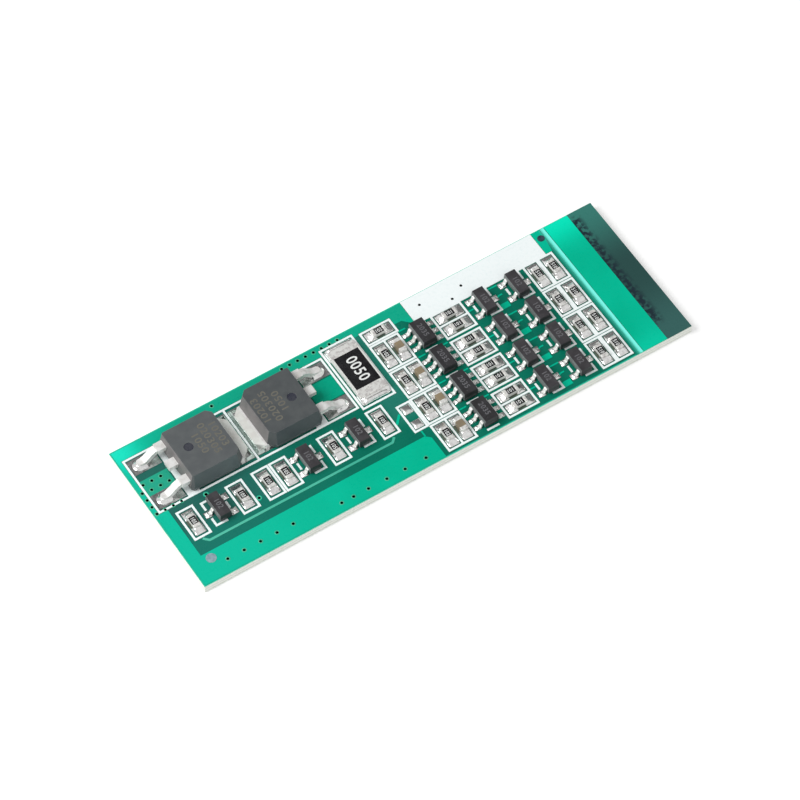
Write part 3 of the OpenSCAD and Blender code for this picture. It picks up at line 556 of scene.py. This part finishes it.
def paint_power_case(name, kind):
    """The left face is painted paler, a painted light from the left, and the near face bluer, a painted
    reflection of the board's green.
    The mould's edges are glossier, and painted lighter as a painted highlight."""
    high = box(name)[1]

    def rule(centre, normal):
        if normal.z > 0.9 and high.z - 0.1 < centre.z < high.z - 0.03:
            return 1
        # Left faces get the paler finish (painted light), near faces the bluer one (painted reflection).
        return 2 if normal.x < -0.8 else 3 if normal.y < -0.8 else 0
    paint(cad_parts[name], (kind, "dimple", "case_left_lit", kind + "_near", "case_edge_highlight"), rule)
    soften(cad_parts[name], 0.07, 3)
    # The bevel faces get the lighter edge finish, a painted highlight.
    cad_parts[name].modifiers["soft_edges"].material = 4


def paint_lead_frame(name):
    """The tab is matt from the stamping, the leads are bright from the dip."""
    low, high = box(name)
    case_low, case_high = box(name.replace("lead_frame", "case"))
    tab_is_right = high.x - case_high.x < case_low.x - low.x

    def rule(centre, normal):
        return 1 if (centre.x > case_high.x if tab_is_right else centre.x < case_low.x) else 0
    paint(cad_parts[name], ("lead", "tab"), rule)


def paint_parts():
    paint_board()
    paint_copper()
    paint_lands()
    plain = {"legend": "ink", "bottom_lands": "solder", "solder_joints": "solder"}
    for name, kind in plain.items():
        paint(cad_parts[name], (kind,), lambda centre, normal: 0)
    soften(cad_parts["copper_pours"], 0.02, 1)
    for name in RESISTORS:
        paint_chip(name, CHIP_CAP, ("cap", "ceramic", "glaze"))
    for name in CAPACITORS:
        paint_chip(name, CAPACITOR_CAP, ("cap", "capacitor_side", "capacitor"))
    paint_chip("shunt_resistor", SHUNT_CAP, ("cap", "ceramic", "glaze"))
    for name in TRANSISTORS:
        paint_small(name, "small_case", SMALL_CASE_W)
    for name in MONITORS:
        paint_small(name, "monitor_case", MONITOR_CASE_W)
    for i in (1, 2):
        paint_power_case(CASES[i], ("case", "dark_case")[i - 1])
        paint_lead_frame(LEAD_FRAMES[i])
        soften(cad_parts[LEAD_FRAMES[i]], 0.06, 3)


# ---- meshes ----

class Solid:
    """Collects closed shapes, and makes them into one named piece that rides with the board."""

    def __init__(self):
        self.points, self.faces = [], []
        self.kinds = []     # [first face, finish] of each stretch of faces after the first

    def switch(self, kind):
        """Gives the faces from here on another finish."""
        self.kinds.append((len(self.faces), kind))

    def sweep(self, rings, closed=False):
        """A tube through rings of as many points each, with flat ends, or closed on itself."""
        start, n = len(self.points), len(rings[0])
        for ring in rings:
            self.points.extend(ring)
        last = len(rings) if closed else len(rings) - 1
        for i in range(last):
            a, b = start + i * n, start + (i + 1) % len(rings) * n
            self.faces += [(a + k, a + (k + 1) % n, b + (k + 1) % n, b + k) for k in range(n)]
        if not closed:
            self.faces.append(tuple(range(start + n - 1, start - 1, -1)))
            end = start + (len(rings) - 1) * n
            self.faces.append(tuple(range(end, end + n)))

    def add(self, mesh, matrix):
        start = len(self.points)
        self.points += [matrix @ v.co for v in mesh.vertices]
        self.faces += [tuple(start + i for i in face.vertices) for face in mesh.polygons]

    def piece(self, name, kind, smooth=False):
        mesh = bpy.data.meshes.new(name)
        mesh.from_pydata([Vector(p) * MM for p in self.points], [], self.faces)
        mesh.materials.append(FINISHES[kind])
        for slot_index, (first, other) in enumerate(self.kinds, 1):
            mesh.materials.append(FINISHES[other])
            for face in mesh.polygons[first:]:
                face.material_index = slot_index
        mesh.validate()
        if smooth:
            mesh.shade_smooth()
        made = add_object(name, mesh)
        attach(made, "root")
        return made


def turned(x, y, turn):
    """Places a local point (u, v) at (x, y), with its u axis turned to an angle in degrees."""
    c, s = math.cos(math.radians(turn)), math.sin(math.radians(turn))
    return lambda u, v, z: (x + u * c - v * s, y + u * s + v * c, z)


def round_stations(half_w, depth, toe, side):
    """As joint_stations, round a lead whose tip is a half circle."""
    start = [((u, half_w), (u, half_w + side), 0.5 + 0.4 * t)
             for t, u in ((t, -depth + (depth - half_w) * t) for t in (0, 0.34, 0.67))]
    tip = [((half_w * (math.cos(a) - 1), half_w * math.sin(a)),
            ((half_w + toe) * math.cos(a) - half_w, (half_w + side) * math.sin(a)), 1.0)
           for a in (math.radians(90 - 15 * k) for k in range(13))]
    end = [((p[0], -p[1]), (q[0], -q[1]), f) for p, q, f in reversed(start)]
    return start + tip + end


def joint_stations(half_w, depth, toe, side):
    """Round a terminal's end, from one flank to the other: a point on it, the land's edge across from it
    and how high the solder climbs there, as a share."""
    flank = [((-depth * (1 - t), half_w), (-depth * (1 - t), half_w + side), 0.45 + 0.45 * t)
             for t in (0, 0.34, 0.67, 1)]
    corner = []
    for a in (18, 36, 54, 72):
        s, c = math.sin(math.radians(a)) ** 0.6, math.cos(math.radians(a)) ** 0.6
        corner.append(((0, half_w), (toe * s, half_w + side * c), 0.95))
    front = [((0, half_w * t), (toe, half_w * t), 1.05 - 0.05 * abs(t)) for t in (1, 0.5)]
    half = flank + corner + front
    middle = [((0, 0), (toe, 0), 1.05)]
    other = [((p[0], -p[1]), (q[0], -q[1]), f) for p, q, f in reversed(half)]
    return half + middle + other


LAP = 0.03                      # solder reaches this far into a terminal's wall
SOLDER_FOOT = LAND_Z - 0.01     # and this low, into its land


def solder_round(solid, place, half_w, depth, toe, side, climb, hollow=1.7, steps=6,
                 stations=joint_stations):
    """Solder that has climbed a terminal: a hollow slope from its walls out to the land's edge."""
    power = hollow * random.uniform(0.85, 1.15)
    lift = climb * random.uniform(0.88, 1.06)
    rings = []
    for (px, py), (qx, qy), share in stations(half_w, depth, toe, side):
        reach = math.hypot(qx - px, qy - py)
        ux, uy = (qx - px) / reach, (qy - py) / reach
        rise = lift * share * random.uniform(0.94, 1.04)
        ring = [place(px - ux * LAP, py - uy * LAP, z) for z in (SOLDER_FOOT, LAND_Z + rise)]
        for k in range(1, steps + 1):
            s = k / steps
            ring.append(place(px + (qx - px) * s, py + (qy - py) * s, LAND_Z + rise * (1 - s) ** power))
        ring.append(place(qx, qy, SOLDER_FOOT))
        rings.append(ring)
    solid.sweep(rings)


def solder_chip(solid, name, toe, side, depth, climb):
    """Both ends of a chip."""
    low, high = box(name)
    middle = (low + high) / 2
    size = high - low
    along_x = size.x > size.y
    for end in (0, 180):
        turn = end if along_x else end + 90
        reach = max(size.x, size.y) / 2
        place = turned(middle.x + reach * math.cos(math.radians(turn)),
                       middle.y + reach * math.sin(math.radians(turn)), turn)
        solder_round(solid, place, min(size.x, size.y) / 2, depth, toe, side, climb * size.z)


CHIP_TOE, CHIP_SIDE = 0.66, 0.18
CLIMB = 0.72        # share of a terminal's height that the solder climbs

# Leads of the small parts: [side, place along the case]
SMALL_LEADS = [(-1, -SMALL_PITCH), (-1, SMALL_PITCH), (1, 0)]
MONITOR_LEADS = [(side, k * SMALL_PITCH) for side in (-1, 1) for k in (-1, 0, 1)]


def solder_leads(solid, name, leads, foot, side, turn=0):
    """The feet of a small part's leads."""
    low, high = box(name)
    middle = (low + high) / 2
    reach = (high.x - low.x) / 2
    for way, y in leads:
        way, y = (-way, -y) if turn else (way, y)
        place = turned(middle.x + way * reach, middle.y + y, 0 if way > 0 else 180)
        solder_round(solid, place, 0.2, foot, 0.32, side, 0.15, hollow=1.4, steps=5)


def solder_power(solid, i):
    """The feet of a power transistor's outer leads. The second one is turned end for end."""
    low, high = box(LEAD_FRAMES[i])
    y = (low.y + high.y) / 2
    tip, out = (low.x, -1) if i == 1 else (high.x, 1)
    for s in (-1, 1):
        place = turned(tip, y + s * POWER_PITCH, 0 if out > 0 else 180)
        solder_round(solid, place, 0.38, 1.15, 0.42, 0.3, 0.38, hollow=1.5, steps=8,
                     stations=round_stations)


def solder_tab(solid, i):
    """The seam of solder along a power transistor's tab."""
    low, high = box(LEAD_FRAMES[i])
    place = turned(high.x if i == 1 else low.x, (low.y + high.y) / 2, 0 if i == 1 else 180)
    solder_round(solid, place, 2.7, 0.7, 0.22, 0.24, 0.34, hollow=1.4, steps=6)


def islands(name):
    """Boxes of the separate solids of a CAD node."""
    mesh = bmesh.new()
    mesh.from_mesh(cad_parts[name].data)
    bmesh.ops.remove_doubles(mesh, verts=mesh.verts, dist=0.001 * MM)
    left, found = set(mesh.verts), []
    while left:
        front = {left.pop()}
        points = []
        while front:
            vertex = front.pop()
            points.append(vertex.co / MM)
            near = {edge.other_vert(vertex) for edge in vertex.link_edges} & left
            left -= near
            front |= near
        found.append([Vector([edge(p[k] for p in points) for k in range(3)]) for edge in (min, max)])
    mesh.free()
    return found


def bare_tin():
    """The solder that lies under no part: the crowned tin of the empty place."""
    parts = [box(name) for name in {**RESISTORS, **CAPACITORS, **TRANSISTORS, **MONITORS}]
    parts += [box(name) for name in (*LEAD_FRAMES.values(), "shunt_resistor")]
    return [(low, high) for low, high in islands("solder_joints")
            if not any(low.x < b.x and a.x < high.x and low.y < b.y and a.y < high.y for a, b in parts)]


def crowned_tin(solid, low, high, steps=12):
    """Tin that stands crowned on a bare land."""
    middle, half, rise = (low + high) / 2, (high - low) / 2, high.z - LAND_Z
    shares = [2 * k / steps - 1 for k in range(steps + 1)]
    rings = []
    for u in shares:
        y = middle.y + half.y * u
        ring = [(high.x, y, SOLDER_FOOT), (low.x, y, SOLDER_FOOT)]
        ring += [(middle.x + half.x * v, y, LAND_Z + rise * ((1 - u ** 2) * (1 - v ** 4)) ** 0.7)
                 for v in shares]
        rings.append(ring)
    solid.sweep(rings)


def make_solder():
    solid = Solid()
    for low, high in bare_tin():
        crowned_tin(solid, low, high)
    for name in RESISTORS:
        solder_chip(solid, name, CHIP_TOE, CHIP_SIDE, 0.3, CLIMB)
    for name in CAPACITORS:
        solder_chip(solid, name, CHIP_TOE, CHIP_SIDE, 0.34, CLIMB * 0.8)
    solder_chip(solid, "shunt_resistor", 0.52, 0.06, 0.9, CLIMB)
    for name in TRANSISTORS:
        solder_leads(solid, name, SMALL_LEADS, 0.3, 0.15, turn=name == "driver_transistor_1")
    for name in MONITORS:
        solder_leads(solid, name, MONITOR_LEADS, 0.3, 0.05)
    for i in (1, 2):
        solder_power(solid, i)
    solid.switch("seam")
    for i in (1, 2):
        solder_tab(solid, i)
    made = solid.piece("wetted_solder", "solder", smooth=True)
    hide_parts("solder_joints")


def make_shade_film():
    """A dark film on the board between each chip's lands: painted shade under the chip."""
    solid = Solid()
    for name in {**RESISTORS, **CAPACITORS}:
        low, high = box(name)
        middle = (low + high) / 2
        along, across = 0.45, 0.6
        dx, dy = (along, across) if high.x - low.x > high.y - low.y else (across, along)
        solid.sweep([[(middle.x + u * dx, middle.y + v * dy, z)
                      for u, v in ((-1, -1), (1, -1), (1, 1), (-1, 1))]
                     for z in (MASK_Z - 0.005, MASK_Z + 0.012)])
    solid.piece("painted_shade_film", "shade_film")


# ---- figures ----

FIGURES = {}


def figure(text):
    """A word of plain figures, one unit high and centred, as a thin mesh."""
    if text not in FIGURES:
        curve = bpy.data.curves.new(text, "FONT")
        curve.body, curve.size = text, 1.4
        curve.align_x, curve.align_y = "CENTER", "CENTER"
        curve.extrude, curve.offset, curve.resolution_u = 0.004, 0.02, 3
        curve.space_character = 1.1
        made = add_object(text, curve)
        bpy.context.view_layer.update()
        FIGURES[text] = bpy.data.meshes.new_from_object(made)
        bpy.data.objects.remove(made)
    return FIGURES[text]


def write(solid, text, x, y, z, turn, height, squeeze=1.0):
    """Adds a word at a place, reading along an angle in degrees."""
    size = Matrix.Diagonal((height * squeeze, height, height * 0.4, 1))
    rotation = Matrix.Rotation(math.radians(turn), 4, "Z")
    solid.add(figure(text), Matrix.Translation((x, y, z)) @ rotation @ size)


PRINT_SINK = 0.008      # a printed figure lies this deep in its coat
BURN_LIFT = 0.001       # and a burnt one this high over its case

CHIP_WORDS = {"filter_resistor_": "102", "gate_resistor_": "101", "bleed_resistor_": "510",
              "driver_resistor_": "105", "sense_resistor": "102"}


def make_figures():
    solid = Solid()
    for name in RESISTORS:
        low, high = box(name)
        middle = (low + high) / 2
        word = next(w for stem, w in CHIP_WORDS.items() if name.startswith(stem))
        turn = 0 if high.x - low.x > high.y - low.y else -90
        write(solid, word, middle.x - 0.04, middle.y - 0.03, high.z - PRINT_SINK, turn, 0.42, 0.8)
    solid.piece("chip_figures", "figure")
    solid = Solid()
    low, high = box("shunt_resistor")
    write(solid, "0050", (low.x + high.x) / 2 + 0.05, (low.y + high.y) / 2, high.z - PRINT_SINK, -90, 1.2, 0.85)
    solid.piece("shunt_figures", "figure")
    make_faint_figures()


def make_faint_figures():
    """Marks burnt into the moulded cases, seen only as a change of gloss."""
    solid = Solid()
    for i, turn in ((1, -90), (2, 90)):
        low, high = box(CASES[i])
        middle = (low + high) / 2
        shift, pitch = (0.9, 1.05) if i == 1 else (-1.0, -1.1)
        for k, word in enumerate(("1050", "020305", "10203")):
            x = middle.x + shift + (k - 1) * pitch
            write(solid, word, x, middle.y, high.z + BURN_LIFT, turn, 0.75, 1.15)
    solid.piece("power_figures", "faint")
    solid = Solid()
    for names, word in ((TRANSISTORS, "102"), (MONITORS, "2035")):
        for name in names:
            low, high = box(name)
            middle = (low + high) / 2
            write(solid, word, middle.x, middle.y, high.z + BURN_LIFT, -90, 0.56, 0.95)
    solid.piece("small_figures", "small_faint")


# ---- rims of the plated holes ----

def bore_centres():
    """Where the board is drilled, from the walls of its bores."""
    found = []
    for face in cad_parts["board"].data.polygons:
        centre = face.center / MM
        if abs(face.normal.z) < 0.5 and 0.1 < centre.z < 0.9 and is_inside(centre, 0.05):
            near = next((f for f in found if (f[0] / f[1] - centre.xy).length < 0.25), None)
            if near:
                near[0] += centre.xy
                near[1] += 1
            else:
                found.append([centre.xy.copy(), 1])
    return [total / count for total, count in found]


def make_rims():
    """A low ring of plating under the mask round each hole."""
    solid = Solid()
    inner, outer, lift, turns = 0.152, 0.25, 0.014, 24
    section = [(inner, -0.02), (inner, lift * 0.7), (inner + 0.02, lift), (outer - 0.04, lift * 0.8),
               (outer, 0.0), (outer, -0.02)]
    for spot in bore_centres():
        rings = [[(spot.x + r * math.cos(a), spot.y + r * math.sin(a), COPPER_Z + z) for r, z in section]
                 for a in (2 * math.pi * k / turns for k in range(turns))]
        solid.sweep(rings, closed=True)
    solid.piece("hole_rims", "rim", smooth=True)


make_camera()
make_world()
make_floor()
area_light("key", (-240, 60, 290), 220, 0.85)
paint_parts()
make_solder()
make_shade_film()
make_figures()
make_rims()

scene = bpy.context.scene
scene.view_settings.view_transform = "Standard"
